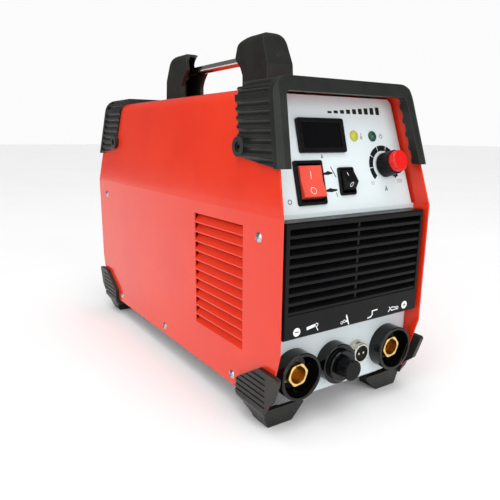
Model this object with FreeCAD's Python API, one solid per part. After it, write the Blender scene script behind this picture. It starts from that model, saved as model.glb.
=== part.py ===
import FreeCAD, Part
import math
import os

# Portable TIG welding inverter: sheet steel case, moulded guards, controls, outlets, fan and power stage.
# Working frame while building: X to the right seen from the front, Y to the back from the case's front
# edge, Z up from the case's lower edge. Every node is moved to the shared frame when it is written.

V = FreeCAD.Vector
OUT = "parts"

# ---- driving dimensions, mm ----
CASE_LENGTH = 362.0
CASE_HALF_WIDTH = 71.0
CREASE_Z = 137.7
CASE_TOP_Z = 221.3
LOWER_BEND_Z = 44.4
SIDE_LEAN = math.radians(5.8)
FRONT_LEAN = math.radians(16.03)
SHEET = 1.2
TOP_CORNER_R = 10.0
FOOT_DROP = 18.0
FRONT_REACH = 9.4
PANEL_RECESS = 14.2
PANEL_TOP_S = 82.5
REAR_PANEL_Y = CASE_LENGTH - PANEL_RECESS
LOUVRE_COUNT = 12
LOUVRE_PITCH = 7.93
LOUVRE_Y = (45.5, 118.4)
LOUVRE_Z = 33.6
GUARD_SIDE = 3.0
GUARD_TOP = 5.6
GUARD_AHEAD = 4.4
GUARD_LEG = 6.5
GUARD_BEAM = 4.0
PANEL_SIDE_GAP = 2.4
RIB_PITCH = 6.1
TOOTH_PITCH = 10.0
GRILLE_HALF = 66.5
GRILLE_Z = (54.2, 134.7)
GRILLE_FRONT_Y = 1.4
SLAT_COUNT = 9
SOCKET_X = 48.0
SOCKET_Z = 23.2
SOCKET_BORE_R = 6.6
OUTLET_X = -10.0
OUTLET_Z = 23.3
CONNECTOR_X = 14.8
CONNECTOR_Z = 25.2
HANDLE_FRONT_Y = 100.0
HANDLE_REAR_Y = 291.5
HANDLE_HALF = 12.9
HANDLE_TOP_Z = 271.5
TUBE_R = 4.0
TUBE_Z = 253.4
TUBE_INSET = 9.5
FAN_SIZE = 92.0
FAN_DEPTH = 25.0
FAN_Z = 90.0
FAN_X = 0.0
KNOB = (42.7, 31.2)
KNOB_CAP_R = 7.9
KNOB_STEP_N = 11.0
KNOB_TOP_N = 16.4
POWER_SWITCH = (-33.4, 20.7)
MODE_SWITCH = (0.9, 20.5)
METER = (-17.4, 53.5)
LAMPS = (("lamp_overload", 14.8, 53.6), ("lamp_power", 33.8, 53.4))
LENS_R = 3.9
COLLAR_R = 17.9
COLLAR_FACE_Y = 2.7

TO_SHARED = V(0, -CASE_LENGTH / 2.0, FOOT_DROP)
MID_Y = CASE_LENGTH / 2.0
nodes = {}


def box(x0, x1, y0, y1, z0, z1):
    return Part.makeBox(x1 - x0, y1 - y0, z1 - z0, V(x0, y0, z0))


def tube_of(base, axis, r, length, bore=0.0):
    body = Part.makeCylinder(r, length, base, axis)
    if bore > 0:
        body = body.cut(Part.makeCylinder(bore, length + 2, base - axis * 1.0, axis))
    return body


def rounded_wire(points, radii):
    """Closed wire through points, each corner rounded by its radius."""
    n = len(points)
    starts = []
    ends = []
    mids = []
    for i in range(n):
        p = points[i]
        a = (points[i - 1] - p)
        b = (points[(i + 1) % n] - p)
        a.normalize()
        b.normalize()
        r = radii[i]
        if r <= 0:
            starts.append(p)
            ends.append(p)
            mids.append(None)
            continue
        half = a.getAngle(b) / 2.0
        reach = r / math.tan(half)
        bis = a + b
        bis.normalize()
        centre = p + bis * (r / math.sin(half))
        starts.append(p + a * reach)
        ends.append(p + b * reach)
        mids.append(centre - bis * r)
    edges = []
    for i in range(n):
        if mids[i] is not None:
            edges.append(Part.Arc(starts[i], mids[i], ends[i]).toShape())
        nxt = starts[(i + 1) % n]
        if ends[i].distanceToPoint(nxt) > 1e-6:
            edges.append(Part.makeLine(ends[i], nxt))
    return Part.Wire(edges)


def prism_x(pts, x0, x1, radii=None):
    points = [V(x0, p[0], p[1]) for p in pts]
    face = Part.Face(rounded_wire(points, radii or [0] * len(pts)))
    return face.extrude(V(x1 - x0, 0, 0))


def prism_y(pts, y0, y1, radii=None):
    points = [V(p[0], y0, p[1]) for p in pts]
    face = Part.Face(rounded_wire(points, radii or [0] * len(pts)))
    return face.extrude(V(0, y1 - y0, 0))


def prism_z(pts, z0, z1, radii=None):
    points = [V(p[0], p[1], z0) for p in pts]
    face = Part.Face(rounded_wire(points, radii or [0] * len(pts)))
    return face.extrude(V(0, 0, z1 - z0))


def mirror_x(shape):
    return shape.mirror(V(0, 0, 0), V(1, 0, 0))


def mirror_y(shape, about=MID_Y):
    return shape.mirror(V(0, about, 0), V(0, 1, 0))


def fuse(shapes):
    whole = shapes[0]
    if len(shapes) > 1:
        whole = whole.fuse(shapes[1:])
    return whole.removeSplitter()


def half_width(z, grow=0.0):
    """Half width of the case at height z, grown outwards."""
    if z <= CREASE_Z:
        return CASE_HALF_WIDTH + grow
    return CASE_HALF_WIDTH + grow - (z - CREASE_Z) * math.tan(SIDE_LEAN)


def case_section(grow, z_low):
    """Cross section of the case, grown outwards, open-bottomed sections start at z_low."""
    top = CASE_TOP_Z + grow
    pts = [(-half_width(0, grow), z_low), (half_width(0, grow), z_low)]
    pts += [(half_width(0, grow), CREASE_Z), (half_width(top, grow), top)]
    pts += [(-half_width(top, grow), top), (-half_width(0, grow), CREASE_Z)]
    corner = TOP_CORNER_R + grow
    return pts, [0, 0, 0, corner, corner, 0]


def case_solid(grow, z_low, y0=-40.0, y1=CASE_LENGTH + 40.0):
    pts, radii = case_section(grow, z_low)
    return prism_y(pts, y0, y1, radii)


def front_y(z):
    """Y of the case's front edge at height z."""
    if z > CREASE_Z:
        return (z - CREASE_Z) * math.tan(FRONT_LEAN)
    if z < LOWER_BEND_Z:
        return (LOWER_BEND_Z - z) * math.tan(FRONT_LEAN)
    return 0.0


def side_profile(inset, z_low, z_high):
    """Side outline of the case, pulled in by inset at both ends."""
    zs = [z_low, LOWER_BEND_Z, CREASE_Z, z_high]
    front = [(front_y(z) + inset, z) for z in zs]
    back = [(CASE_LENGTH - front_y(z) - inset, z) for z in reversed(zs)]
    return prism_x(front + back, -100.0, 100.0)


def on_panel(shape):
    """Move a shape built flat (x, up the panel, outwards) onto the leaning control panel."""
    turned = shape.copy()
    turn = FreeCAD.Rotation(V(1, 0, 0), 90.0 - math.degrees(FRONT_LEAN))
    turned.Placement = FreeCAD.Placement(V(0, PANEL_RECESS, CREASE_Z), turn).multiply(shape.Placement)
    return turned


def flat_box(x, s, w, h, n0, n1, r=0.0):
    """Upright plate centred at x, s on the flat panel, w wide and h tall, from n0 to n1."""
    pts = [(x - w / 2, s - h / 2), (x + w / 2, s - h / 2), (x + w / 2, s + h / 2), (x - w / 2, s + h / 2)]
    return prism_z(pts, n0, n1, [r] * 4)


def flat_disc(x, s, r, n0, n1, bore=0.0):
    return tube_of(V(x, s, n0), V(0, 0, 1), r, n1 - n0, bore)


def lower_disc(x, z, r, y_front, y_back, bore=0.0):
    """Disc on the upright lower panel, facing the front."""
    return tube_of(V(x, y_front, z), V(0, 1, 0), r, y_back - y_front, bore)


def turned_y(x, z, profile):
    """Solid of revolution about a Y axis at x, z. profile holds (radius, y) pairs."""
    points = [V(x + r, y, z) for r, y in profile]
    wire = Part.makePolygon(points + [points[0]])
    return Part.Face(wire).revolve(V(x, 0, z), V(0, 1, 0), 360)


def add(name, shape):
    nodes[name] = shape


# ---- case ----
def louvre(z0, side):
    """Blade pressed inwards at its top edge."""
    w = CASE_HALF_WIDTH
    pts = [(w, z0), (w, z0 - 0.6), (w - SHEET, z0 - 0.6), (w - SHEET, z0)]
    pts += [(w - 5.6, z0 + 6.2), (w - 4.6, z0 + 6.6)]
    blade = prism_y([(side * p[0], p[1]) for p in pts], LOUVRE_Y[0], LOUVRE_Y[1])
    return blade


def build_cover():
    outer = case_solid(0.0, -1.0)
    inner = case_solid(-SHEET, -3.0)
    cover = outer.cut(inner).common(side_profile(0.0, 0.0, CASE_TOP_Z + 3))
    trim = guard_side(0.0).common(case_solid(0.5, 0)).cut(case_solid(-SHEET - 0.5, -3))
    lip = trim.common(leaning_slab(30.0, 2.3, CREASE_Z, 240.0))
    cover = cover.cut(lip).cut(mirror_y(lip))
    slots = []
    blades = []
    for i in range(LOUVRE_COUNT):
        z0 = LOUVRE_Z + i * LOUVRE_PITCH
        for side in (-1, 1):
            x0 = side * (CASE_HALF_WIDTH + 1)
            x1 = side * (CASE_HALF_WIDTH - SHEET - 0.5)
            slots.append(box(min(x0, x1), max(x0, x1), LOUVRE_Y[0], LOUVRE_Y[1], z0, z0 + 6.9))
            blades.append(louvre(z0, side))
    cover = cover.cut(Part.makeCompound(slots))
    return fuse([cover] + blades)


def leaning_slab(ahead, behind, z_low=150.0, z_high=245.0):
    """Slab parallel to the leaning front edge, from ahead of it to behind it."""
    pts = [(front_y(z_low) - ahead, z_low), (front_y(z_high) - ahead, z_high)]
    pts += [(front_y(z_high) + behind, z_high), (front_y(z_low) + behind, z_low)]
    return prism_x(pts, -100, 100)


def guard_side(ahead):
    """Side outline of the top corner guard, its front face ahead of the case's front edge."""
    pts = [(front_y(168.6) - ahead, 168.6), (49.0, 173.8), (58.5, 176.2), (60.2, 184.0), (57.2, 188.5)]
    pts += [(65.6, 218.0), (64.5, 235.0), (front_y(235.0) - ahead, 235.0)]
    return prism_x(pts, -100, 100, [0.5, 3, 5, 5, 2, 5, 0, 0])


def guard_section(side, top, corner, y0=-40.0, y1=120.0):
    """Cross section of the guard, off the case by side at its walls and by top above it."""
    z = CASE_TOP_Z + top
    pts = [(half_width(0, side), 100.0), (half_width(0, side), CREASE_Z), (half_width(z, side), z)]
    pts += [(-half_width(z, side), z), (-half_width(0, side), CREASE_Z), (-half_width(0, side), 100.0)]
    return prism_y(pts, y0, y1, [0, 0, corner, corner, 0, 0])


def rib_centres():
    """Centres and outward angles of the grooves round the right side and top corner of the guard."""
    found = []
    z = 173.5
    while z < CASE_TOP_Z - 8:
        found.append((half_width(z, GUARD_SIDE + 0.5), z, math.degrees(SIDE_LEAN)))
        z += RIB_PITCH
    r = 13.5
    cx = half_width(CASE_TOP_Z, GUARD_SIDE) - r
    cz = CASE_TOP_Z + GUARD_TOP - r
    for step in (22.0, 47.0, 72.0):
        a = math.radians(step)
        found.append((cx + (r + 0.5) * math.cos(a), cz + (r + 0.5) * math.sin(a), step))
    return found


def guard_grooves():
    """Rounded grooves that leave ribs running front to back."""
    cuts = []
    for x, z, angle in rib_centres():
        groove = Part.makeCylinder(2.1, 130.0, V(x, -30.0, z), V(0, 1, 0))
        cuts.append(groove)
        cuts.append(mirror_x(groove))
    return Part.makeCompound(cuts)


def clip_teeth():
    """Row of rounded teeth that grips the inner face of the right wall behind the front edge."""
    teeth = []
    for k in range(5):
        z = 171.5 + TOOTH_PITCH * k
        x = half_width(z, -SHEET - 0.2)
        tooth = Part.makeCylinder(3.1, 3.0, V(x - 3.0, front_y(z) + 2.2, z), V(1, 0, 0))
        teeth.append(tooth)
    row = Part.makeCompound(teeth).common(leaning_slab(0.0, 8.0)).common(case_solid(-SHEET - 0.15, 150))
    return row


def build_top_guard():
    shell = guard_section(GUARD_SIDE, GUARD_TOP, 13.5)
    band = shell.cut(case_solid(0.0, 140)).common(guard_side(GUARD_AHEAD))
    band = band.cut(guard_grooves().common(leaning_slab(-0.8, 90.0)))
    opening = guard_section(-GUARD_LEG, -GUARD_BEAM, 3.0)
    rim = shell.cut(opening).common(leaning_slab(GUARD_AHEAD, 2.2, 168.65, 235.0))
    teeth = clip_teeth()
    bevels = []
    for side in (-1, 1):
        low = half_width(168.6, GUARD_SIDE + 0.2)
        high = half_width(235.0, GUARD_SIDE + 0.2)
        corners = []
        for x, z in ((low, 160.0), (high, 240.0)):
            y = front_y(z) - GUARD_AHEAD
            corners.append([V(side * (x - 5.0), y - 0.5, z), V(side * (x + 1.0), y - 0.5, z),
                            V(side * (x + 1.0), y + 2.2, z)])
        wires = [Part.makePolygon(c + [c[0]]) for c in corners]
        bevels.append(Part.makeLoft(wires, True, True))
    boss = Part.makeCylinder(7.0, 4.2, V(half_width(181.7, 0.2), 53.6, 181.6), V(1, 0, 0))
    hole = Part.makeCylinder(3.6, 8.0, V(half_width(181.7, 1.2), 53.6, 181.6), V(1, 0, 0))
    outside = case_solid(0.0, 140)
    bosses = [boss.cut(outside), mirror_x(boss).cut(outside)]
    whole = fuse([band, rim, teeth, mirror_x(teeth)] + bosses)
    whole = whole.cut(Part.makeCompound(bevels))
    return whole.cut(hole).cut(mirror_x(hole))


def guard_screws(name):
    heads = []
    for side in (-1, 1):
        x = half_width(181.7, 0.05)
        head = Part.makeCylinder(3.2, 2.4, V(x + 1.15, 53.6, 181.6), V(1, 0, 0))
        recess = Part.makeCylinder(1.5, 2.0, V(x + 2.3, 53.6, 181.6), V(1, 0, 0))
        head = head.cut(recess)
        heads.append(head if side > 0 else mirror_x(head))
    add(name, Part.makeCompound(heads + [mirror_y(h) for h in heads]))


def build_foot():
    """Front right foot: side plate, low front wall, floor and bearing block."""
    plate_pts = [(-3.5, 30.0), (19.5, 30.3), (48.5, 12.0), (49.0, 0.2), (42.0, -7.6), (36.0, -12.0)]
    plate_pts += [(26.0, -18.0), (17.0, -18.0), (14.4, -5.0), (11.0, 2.9), (3.2, 9.9)]
    plate = prism_x(plate_pts, CASE_HALF_WIDTH, 75.0, [2, 3, 3, 3, 3, 3, 2, 1, 3, 2, 3])
    grooves = []
    for k in range(6):
        z = 25.2 - 4.4 * k
        grooves.append(box(74.1, 76, 10.5, 60, z - 0.8, z + 0.8))
    plate = plate.cut(Part.makeCompound(grooves))
    wall_pts = [(32.0, -4.2), (45.0, -18.0), (66.5, -18.0), (71.5, -7.0), (75.0, -2.0), (71.2, -4.2)]
    wall = prism_y(wall_pts, 17.0, 20.2, [1.5, 2, 2, 2, 0, 0])
    floor = prism_y([(45.0, -14.4), (45.0, -18.0), (66.5, -18.0), (69.0, -14.4)], 17.0, 36.0)
    block_pts = [(17.4, -18.0), (30.0, -18.0), (46.0, -6.0), (46.0, 0.0), (34.0, 0.0), (20.0, -6.0)]
    block = prism_x(block_pts, 58.0, CASE_HALF_WIDTH)
    block = block.cut(box(50, 68.5, 10, 33.5, -14.4, 5))
    tab = box(67.0, 75.0, 17.0, 27.0, -18.0, -2.0)
    slope_pts = [(60, -18.5), (66.5, -18.5), (71.5, -7.0), (75.5, -1.0), (80, -1.0), (80, -30), (60, -30)]
    slope = prism_y(slope_pts, 0, 70)
    whole = fuse([plate, wall, floor, block, tab])
    return whole.cut(slope)


def build_base():
    notch = 35.0
    pts = [(-43, 15.8), (43, 15.8), (45, notch), (69.4, notch)]
    pts += [(69.4, CASE_LENGTH - notch), (45, CASE_LENGTH - notch), (43, REAR_PANEL_Y - 1.6)]
    pts += [(-43, REAR_PANEL_Y - 1.6), (-45, CASE_LENGTH - notch), (-69.4, CASE_LENGTH - notch)]
    pts += [(-69.4, notch), (-45, notch)]
    floor = prism_z(pts, 0.0, 1.5)
    flanges = []
    for side in (-1, 1):
        x0, x1 = sorted((side * 69.4, side * 68.0))
        flanges.append(box(x0, x1, notch, CASE_LENGTH - notch, 0.0, 13.0))
    holes = []
    for side in (-1, 1):
        for y in range(90, 280, 14):
            x0, x1 = sorted((side * 26.0, side * 56.0))
            holes.append(box(x0, x1, y, y + 4.0, -1, 3))
    return fuse([floor] + flanges).cut(Part.makeCompound(holes))


def panel_sheet(y_face, thick):
    """Bent panel following the leaning front edge, cut to the inside of the case."""
    run = PANEL_TOP_S
    top_y = y_face + run * math.sin(FRONT_LEAN)
    top_z = CREASE_Z + run * math.cos(FRONT_LEAN)
    pts = [(y_face, 1.6), (y_face, CREASE_Z), (top_y, top_z)]
    pts += [(top_y + thick, top_z - 0.3), (y_face + thick, CREASE_Z), (y_face + thick, 1.6)]
    sheet = prism_x(pts, -90, 90)
    sheet = sheet.common(case_solid(-SHEET - 0.1, -5))
    upper = case_solid(-SHEET + 1.0, CREASE_Z + 0.5).cut(case_solid(-SHEET - PANEL_SIDE_GAP, -5, -50, 420))
    sheet = sheet.cut(upper)
    corner = [(44.0, -1.0), (52.0, 5.0), (60.0, 13.0), (72.0, 20.0), (72.0, -1.0)]
    return sheet.cut(prism_y(corner, 0, 60)).cut(mirror_x(prism_y(corner, 0, 60)))


def build_front_panel():
    sheet = panel_sheet(PANEL_RECESS, SHEET)
    cuts = [box(-60, 60, 0, 30, 74, 129)]
    cuts.append(on_panel(flat_box(POWER_SWITCH[0], POWER_SWITCH[1], 22.6, 28.4, -5, 5)))
    cuts.append(on_panel(flat_box(MODE_SWITCH[0], MODE_SWITCH[1], 14.0, 18.8, -5, 5)))
    cuts.append(on_panel(flat_box(METER[0], METER[1], 38.4, 20.4, -5, 5)))
    cuts.append(on_panel(flat_disc(KNOB[0], KNOB[1], 4.8, -5, 5)))
    for lamp, x, s in LAMPS:
        cuts.append(on_panel(flat_disc(x, s, 3.6, -5, 5)))
    for side in (-1, 1):
        cuts.append(lower_disc(side * SOCKET_X, SOCKET_Z, 14.6, 10, 20))
    cuts.append(lower_disc(OUTLET_X, OUTLET_Z, 9.1, 10, 20))
    cuts.append(lower_disc(CONNECTOR_X, CONNECTOR_Z, 7.7, 10, 20))
    return sheet.cut(Part.makeCompound(cuts))


def build_rear_panel():
    sheet = mirror_y(panel_sheet(PANEL_RECESS, SHEET))
    fan_hole = lower_disc(FAN_X, FAN_Z, 43.0, REAR_PANEL_Y - 10, REAR_PANEL_Y + 10)
    gland = lower_disc(40.0, 28.0, 8.1, REAR_PANEL_Y - 10, REAR_PANEL_Y + 10)
    inlet = lower_disc(-42.0, 28.0, 5.1, REAR_PANEL_Y - 10, REAR_PANEL_Y + 10)
    return sheet.cut(Part.makeCompound([fan_hole, gland, inlet]))


def build_grille():
    z0, z1 = GRILLE_Z
    block = box(-GRILLE_HALF, GRILLE_HALF, GRILLE_FRONT_Y, PANEL_RECESS, z0, z1)
    edges = [e for e in block.Edges if abs(e.Vertexes[0].Point.y - GRILLE_FRONT_Y) < 0.01
             and abs(e.Vertexes[-1].Point.y - GRILLE_FRONT_Y) < 0.01]
    block = block.makeFillet(1.2, edges)
    low = 71.5
    high = z1 - 4.2
    opening = box(-GRILLE_HALF + 3, GRILLE_HALF - 3, 0, 20, low, high)
    block = block.cut(opening)
    pitch = (high - low) / SLAT_COUNT
    pieces = [block]
    for i in range(SLAT_COUNT):
        z = low + pitch * i
        pts = [(2.0, z + 0.2), (2.0, z + 2.2), (12.6, z + pitch - 0.2 + 1.2), (12.6, z + pitch - 0.5)]
        if i == SLAT_COUNT - 1:
            pts[2] = (12.6, high + 0.3)
        pieces.append(prism_x(pts, -GRILLE_HALF + 2.5, GRILLE_HALF - 2.5))
    pieces.append(box(-0.9, 0.9, 3.4, 13.2, low - 0.5, high + 0.5))
    return fuse(pieces)


# ---- handle ----
def bracket_shape():
    """Front bracket: arched block with a nose over the tube, hollowed from its inner side."""
    y0 = HANDLE_FRONT_Y
    side = [(y0, CASE_TOP_Z), (y0 + 1.2, 246.0), (y0 + 12.5, HANDLE_TOP_Z), (y0 + 34, HANDLE_TOP_Z)]
    side += [(y0 + 46.5, 266.0), (y0 + 49.8, 253.6), (y0 + 41.0, 245.6), (y0 + 37.2, 239.0)]
    side += [(y0 + 36.5, CASE_TOP_Z)]
    block = prism_x(side, -30, 30, [0, 10, 8, 8, 6, 2.5, 5, 5, 0])
    arch = [(-HANDLE_HALF - 0.6, CASE_TOP_Z), (HANDLE_HALF + 0.6, CASE_TOP_Z), (HANDLE_HALF, 248.0)]
    arch += [(HANDLE_HALF - 1.2, HANDLE_TOP_Z), (-HANDLE_HALF + 1.2, HANDLE_TOP_Z), (-HANDLE_HALF, 248.0)]
    shape = block.common(prism_y(arch, 0, 300, [0, 0, 8, 10.2, 10.2, 8]))
    inner_side = [(y0 + 5, CASE_TOP_Z + 4), (y0 + 6, 246.0), (y0 + 16, HANDLE_TOP_Z - 3.4)]
    inner_side += [(y0 + 70, HANDLE_TOP_Z - 3.4), (y0 + 70, CASE_TOP_Z + 4)]
    hollow = prism_x(inner_side, -30, 30, [2, 8, 10, 0, 0])
    inner = [(-HANDLE_HALF + 3.2, CASE_TOP_Z), (HANDLE_HALF - 3.2, CASE_TOP_Z)]
    inner += [(HANDLE_HALF - 3.6, HANDLE_TOP_Z - 3.2), (-HANDLE_HALF + 3.6, HANDLE_TOP_Z - 3.2)]
    hollow = hollow.common(prism_y(inner, 0, 300, [0, 0, 7.5, 7.5]))
    shape = shape.cut(hollow)
    scoop = Part.makeCylinder(9.4, 60.0, V(2.5, y0 + 57.0, 262.4), V(0.47, -0.88, 0))
    shape = shape.cut(scoop)
    boss = tube_of(V(0, y0 + 3.5, TUBE_Z), V(0, 1, 0), 7.0, 16.0).common(block)
    web = box(-2.0, 2.0, y0 + 3.5, y0 + 18, CASE_TOP_Z + 1, TUBE_Z)
    floor = box(-HANDLE_HALF + 2, HANDLE_HALF - 2, y0 + 3, y0 + 35, CASE_TOP_Z, CASE_TOP_Z + 4.2)
    shape = fuse([shape, boss, web, floor])
    return shape.cut(tube_of(V(0, y0 + TUBE_INSET, TUBE_Z), V(0, 1, 0), TUBE_R + 0.03, 40.0))


def build_handle():
    front = bracket_shape()
    centre = (HANDLE_FRONT_Y + HANDLE_REAR_Y) / 2.0
    add("handle_bracket_front", front)
    add("handle_bracket_rear", mirror_y(front, centre))
    start = HANDLE_FRONT_Y + TUBE_INSET
    length = HANDLE_REAR_Y - HANDLE_FRONT_Y - 2.0 * TUBE_INSET
    add("handle_tube", tube_of(V(0, start, TUBE_Z), V(0, 1, 0), TUBE_R, length))
    bolts = []
    for y in (HANDLE_FRONT_Y + 25.0, HANDLE_REAR_Y - 25.0):
        for x in (-7.0, 7.0):
            bolts.append(tube_of(V(x, y, CASE_TOP_Z - SHEET - 4.0), V(0, 0, 1), 4.0, 4.0))
    add("handle_screws", Part.makeCompound(bolts))


# ---- control panel ----
def rocker(w, centre, profile, radii, tip):
    """Rocker of the given side profile (up, outwards), tipped so that its upper half is pressed in."""
    x, s = centre
    body = prism_x(profile, x - w / 2, x + w / 2, radii)
    body.rotate(V(x, 0, -2.0), V(1, 0, 0), -tip)
    body.translate(V(0, s, 0))
    return body


def switch_housing(centre, w, h, cut_w, cut_h, depth, recess_w, recess_h):
    x, s = centre
    bezel = flat_box(x, s, w, h, 0.0, 2.0, 1.6)
    top = [f for f in bezel.Faces if abs(f.CenterOfMass.z - 2.0) < 1e-6][0]
    bezel = bezel.makeFillet(0.7, top.Edges)
    body = flat_box(x, s, cut_w, cut_h, -depth, 0.0)
    terminals = []
    for k in (-1, 1):
        terminals.append(flat_box(x + k * cut_w * 0.25, s + 4.5, 0.8, 6.3, -depth - 8, -depth))
        terminals.append(flat_box(x + k * cut_w * 0.25, s - 4.5, 0.8, 6.3, -depth - 8, -depth))
    whole = fuse([bezel, body] + terminals)
    return on_panel(whole.cut(flat_box(x, s, recess_w, recess_h, -9.0, 5.0, 0.8)))


def build_controls():
    add("power_switch_housing", switch_housing(POWER_SWITCH, 25.5, 31.0, 22.0, 27.8, 22.0, 20.4, 26.6))
    dished = [(-11.2, -3.0), (-11.2, 4.6), (0.0, 3.2), (11.2, 4.6), (11.2, -3.0), (0.0, -4.5)]
    add("power_rocker", on_panel(rocker(19.4, POWER_SWITCH, dished, [1, 1.2, 9, 1.2, 1, 3], 6.0)))
    add("mode_switch_housing", switch_housing(MODE_SWITCH, 15.0, 20.2, 13.6, 18.4, 16.0, 12.8, 17.4))
    ridged = [(-7.2, -3.0), (-7.2, 1.6), (-2.8, 6.4), (7.2, 3.8), (7.2, -3.0), (0.0, -4.5)]
    add("mode_rocker", on_panel(rocker(11.6, MODE_SWITCH, ridged, [1, 1.2, 1.5, 1.2, 1, 3], 9.0)))
    x, s = METER
    bezel = flat_box(x, s, 42.7, 24.3, 0.0, 2.4, 1.5).cut(flat_box(x, s, 36.0, 18.0, 0.6, 5, 0.8))
    module = flat_box(x, s, 37.6, 19.6, -14.0, 0.0)
    add("meter_housing", on_panel(fuse([bezel, module])))
    add("meter_window", on_panel(flat_box(x, s, 35.8, 17.8, 0.6, 1.7, 0.7)))
    holders = []
    dome_r = 5.4
    dome_drop = math.sqrt(dome_r ** 2 - LENS_R ** 2)
    for name, x, s in LAMPS:
        holders.append(on_panel(flat_disc(x, s, 5.2, -5.0, -SHEET - 0.05, 3.35)))
        dome = Part.makeSphere(dome_r, V(x, s, 0.8 - dome_drop)).common(flat_disc(x, s, LENS_R, 0.8, 4.0))
        lens = fuse([flat_disc(x, s, 3.3, -5.0, 0.05), flat_disc(x, s, LENS_R, 0.05, 0.8), dome])
        add(name + "_lens", on_panel(lens))
    add("lamp_holders", Part.makeCompound(holders))
    x, s = KNOB
    skirt = Part.makeCone(9.4, 8.9, KNOB_STEP_N + 0.6 - 0.9, V(x, s, 0.9), V(0, 0, 1))
    grips = []
    for k in range(18):
        a = math.radians(20 * k)
        grips.append(flat_disc(x + 9.8 * math.cos(a), s + 9.8 * math.sin(a), 0.95, 2.6, 16))
    skirt = skirt.cut(Part.makeCompound(grips))
    point = [(x + 7.5, s - 1.8), (x + 13.2, s - 0.3), (x + 13.2, s + 0.3), (x + 7.5, s + 1.8)]
    pointer = prism_z(point, 0.9, 3.4)
    pointer.rotate(V(x, s, 0), V(0, 0, 1), -44)
    recess = flat_disc(x, s, KNOB_CAP_R + 0.15, KNOB_STEP_N, 20)
    bore = flat_disc(x, s, 3.0, -1, 9.5)
    relief = flat_disc(x, s, 7.0, 0.5, 3.0, 5.0)
    add("current_knob", on_panel(skirt.fuse(pointer).cut(recess).cut(bore).cut(relief)))
    cap = Part.makeCylinder(KNOB_CAP_R, KNOB_TOP_N - KNOB_STEP_N, V(x, s, KNOB_STEP_N), V(0, 0, 1))
    top = [e for e in cap.Edges if abs(e.CenterOfMass.z - KNOB_TOP_N) < 1e-6]
    add("current_knob_cap", on_panel(cap.makeFillet(1.4, top)))
    add("pot_shaft", on_panel(flat_disc(x, s, 3.0, -9.0, 9.5)))
    pot = flat_disc(x, s, 8.5, -11.0, -SHEET - 0.05).fuse(flat_disc(x, s, 4.6, -3.0, 0.5))
    lugs = [flat_box(x + 4.0 * k, s - 11.0, 1.4, 8.0, -6.0, -5.2) for k in (-1, 0, 1)]
    pot = fuse([pot] + lugs).cut(flat_disc(x, s, 3.05, -9.6, 5))
    add("potentiometer", on_panel(pot))


# ---- outlets on the lower panel ----
def hexagon_y(x, z, across, y0, y1, r=0.0, turn=0.0):
    rad = across / math.sqrt(3.0)
    pts = []
    for k in range(6):
        a = math.radians(60 * k + turn)
        pts.append((x + rad * math.cos(a), z + rad * math.sin(a)))
    return prism_y(pts, y0, y1, [r] * 6)


def build_socket(side, word):
    x, z = side * SOCKET_X, SOCKET_Z
    face = COLLAR_FACE_Y
    profile = [(15.6, face), (COLLAR_R - 0.4, face), (COLLAR_R, face + 0.6), (COLLAR_R, PANEL_RECESS)]
    profile += [(14.4, PANEL_RECESS)]
    profile += [(14.4, 30.0), (9.9, 30.0), (9.9, 17.5), (13.6, 16.0)]
    body = turned_y(x, z, profile)
    add("socket_%s_body" % word, body)
    insert = hexagon_y(x, z, 16.0, 7.0, 17.0, 3.0, 8.0).fuse(lower_disc(x, z, 9.85, 17.5, 30.0))
    insert = insert.fuse(lower_disc(x, z, 8.4, 16.5, 44.0)).removeSplitter()
    insert = insert.cut(lower_disc(x, z, SOCKET_BORE_R, 5.0, 33.0))
    key = box(x - 2.2, x + 2.2, 5.0, 20.0, z + 4.0, z + SOCKET_BORE_R + 0.5)
    insert = insert.cut(key)
    add("socket_%s_insert" % word, insert)
    nut = hexagon_y(x, z, 26.0, 36.0, 41.0).cut(lower_disc(x, z, 8.45, 30, 50))
    lug = tube_of(V(x, 33.5, z), V(0, 1, 0), 12.5, 2.4).fuse(box(x - 5, x + 5, 33.5, 35.9, z + 9, z + 27))
    return [nut, lug.cut(lower_disc(x, z, 8.45, 30, 50))]


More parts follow.
